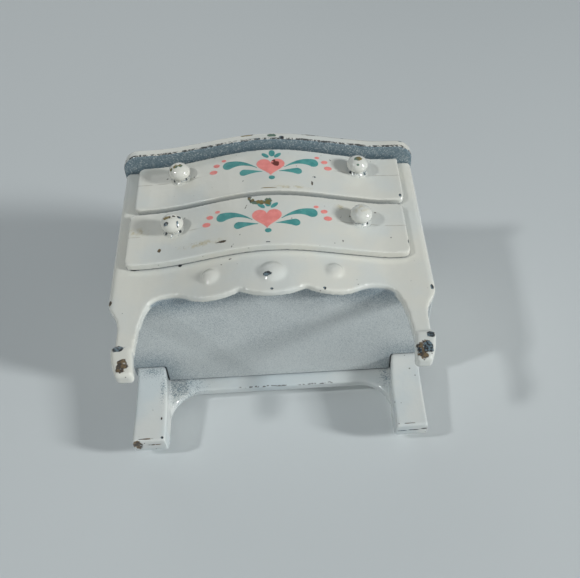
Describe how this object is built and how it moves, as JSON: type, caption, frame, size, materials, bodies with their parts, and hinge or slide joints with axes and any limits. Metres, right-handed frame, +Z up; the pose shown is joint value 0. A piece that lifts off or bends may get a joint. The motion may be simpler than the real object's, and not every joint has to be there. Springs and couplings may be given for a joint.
{
  "type": "miniature chest of drawers",
  "caption": "Small painted metal chest for a dolls' house, with a bow front, scalloped apron, bracket feet and sliding drawers.",
  "frame": {"origin": "on the ground, at the centre of the footprint box of the closed chest", "axes": "+X right as seen from the front, +Y to the back, +Z up; the drawers open along -Y"},
  "size_m": [0.0494, 0.0302, 0.0437],
  "materials": {
    "white_enamel": "thick glossy off-white enamel over zinc, chipped at edges, with a small stencilled heart and leaf print on the drawers",
    "bare_sheet": "thin dull sheet metal with a trace of overspray",
    "rivet_steel": "dull peened steel"
  },
  "bodies": {
    "cabinet": {"cabinet_shell": "white_enamel", "top_slab": "white_enamel", "top_rivets": "rivet_steel", "back_frame": "white_enamel", "back_rivets": "rivet_steel", "upper_shelf": "bare_sheet", "lower_shelf": "bare_sheet"},
    "upper_drawer": {"upper_drawer_front": "white_enamel", "upper_drawer_tray": "bare_sheet", "upper_left_knob": "white_enamel", "upper_right_knob": "white_enamel"},
    "lower_drawer": {"lower_drawer_front": "white_enamel", "lower_drawer_tray": "bare_sheet", "lower_left_knob": "white_enamel", "lower_right_knob": "white_enamel"}
  },
  "joints": [
    {"name": "upper_drawer_slide", "type": "slide", "parent": "cabinet", "child": "upper_drawer", "axis": [0, -1, 0], "range_m": [0, 0.014]},
    {"name": "lower_drawer_slide", "type": "slide", "parent": "cabinet", "child": "lower_drawer", "axis": [0, -1, 0], "range_m": [0, 0.014]}
  ]
}
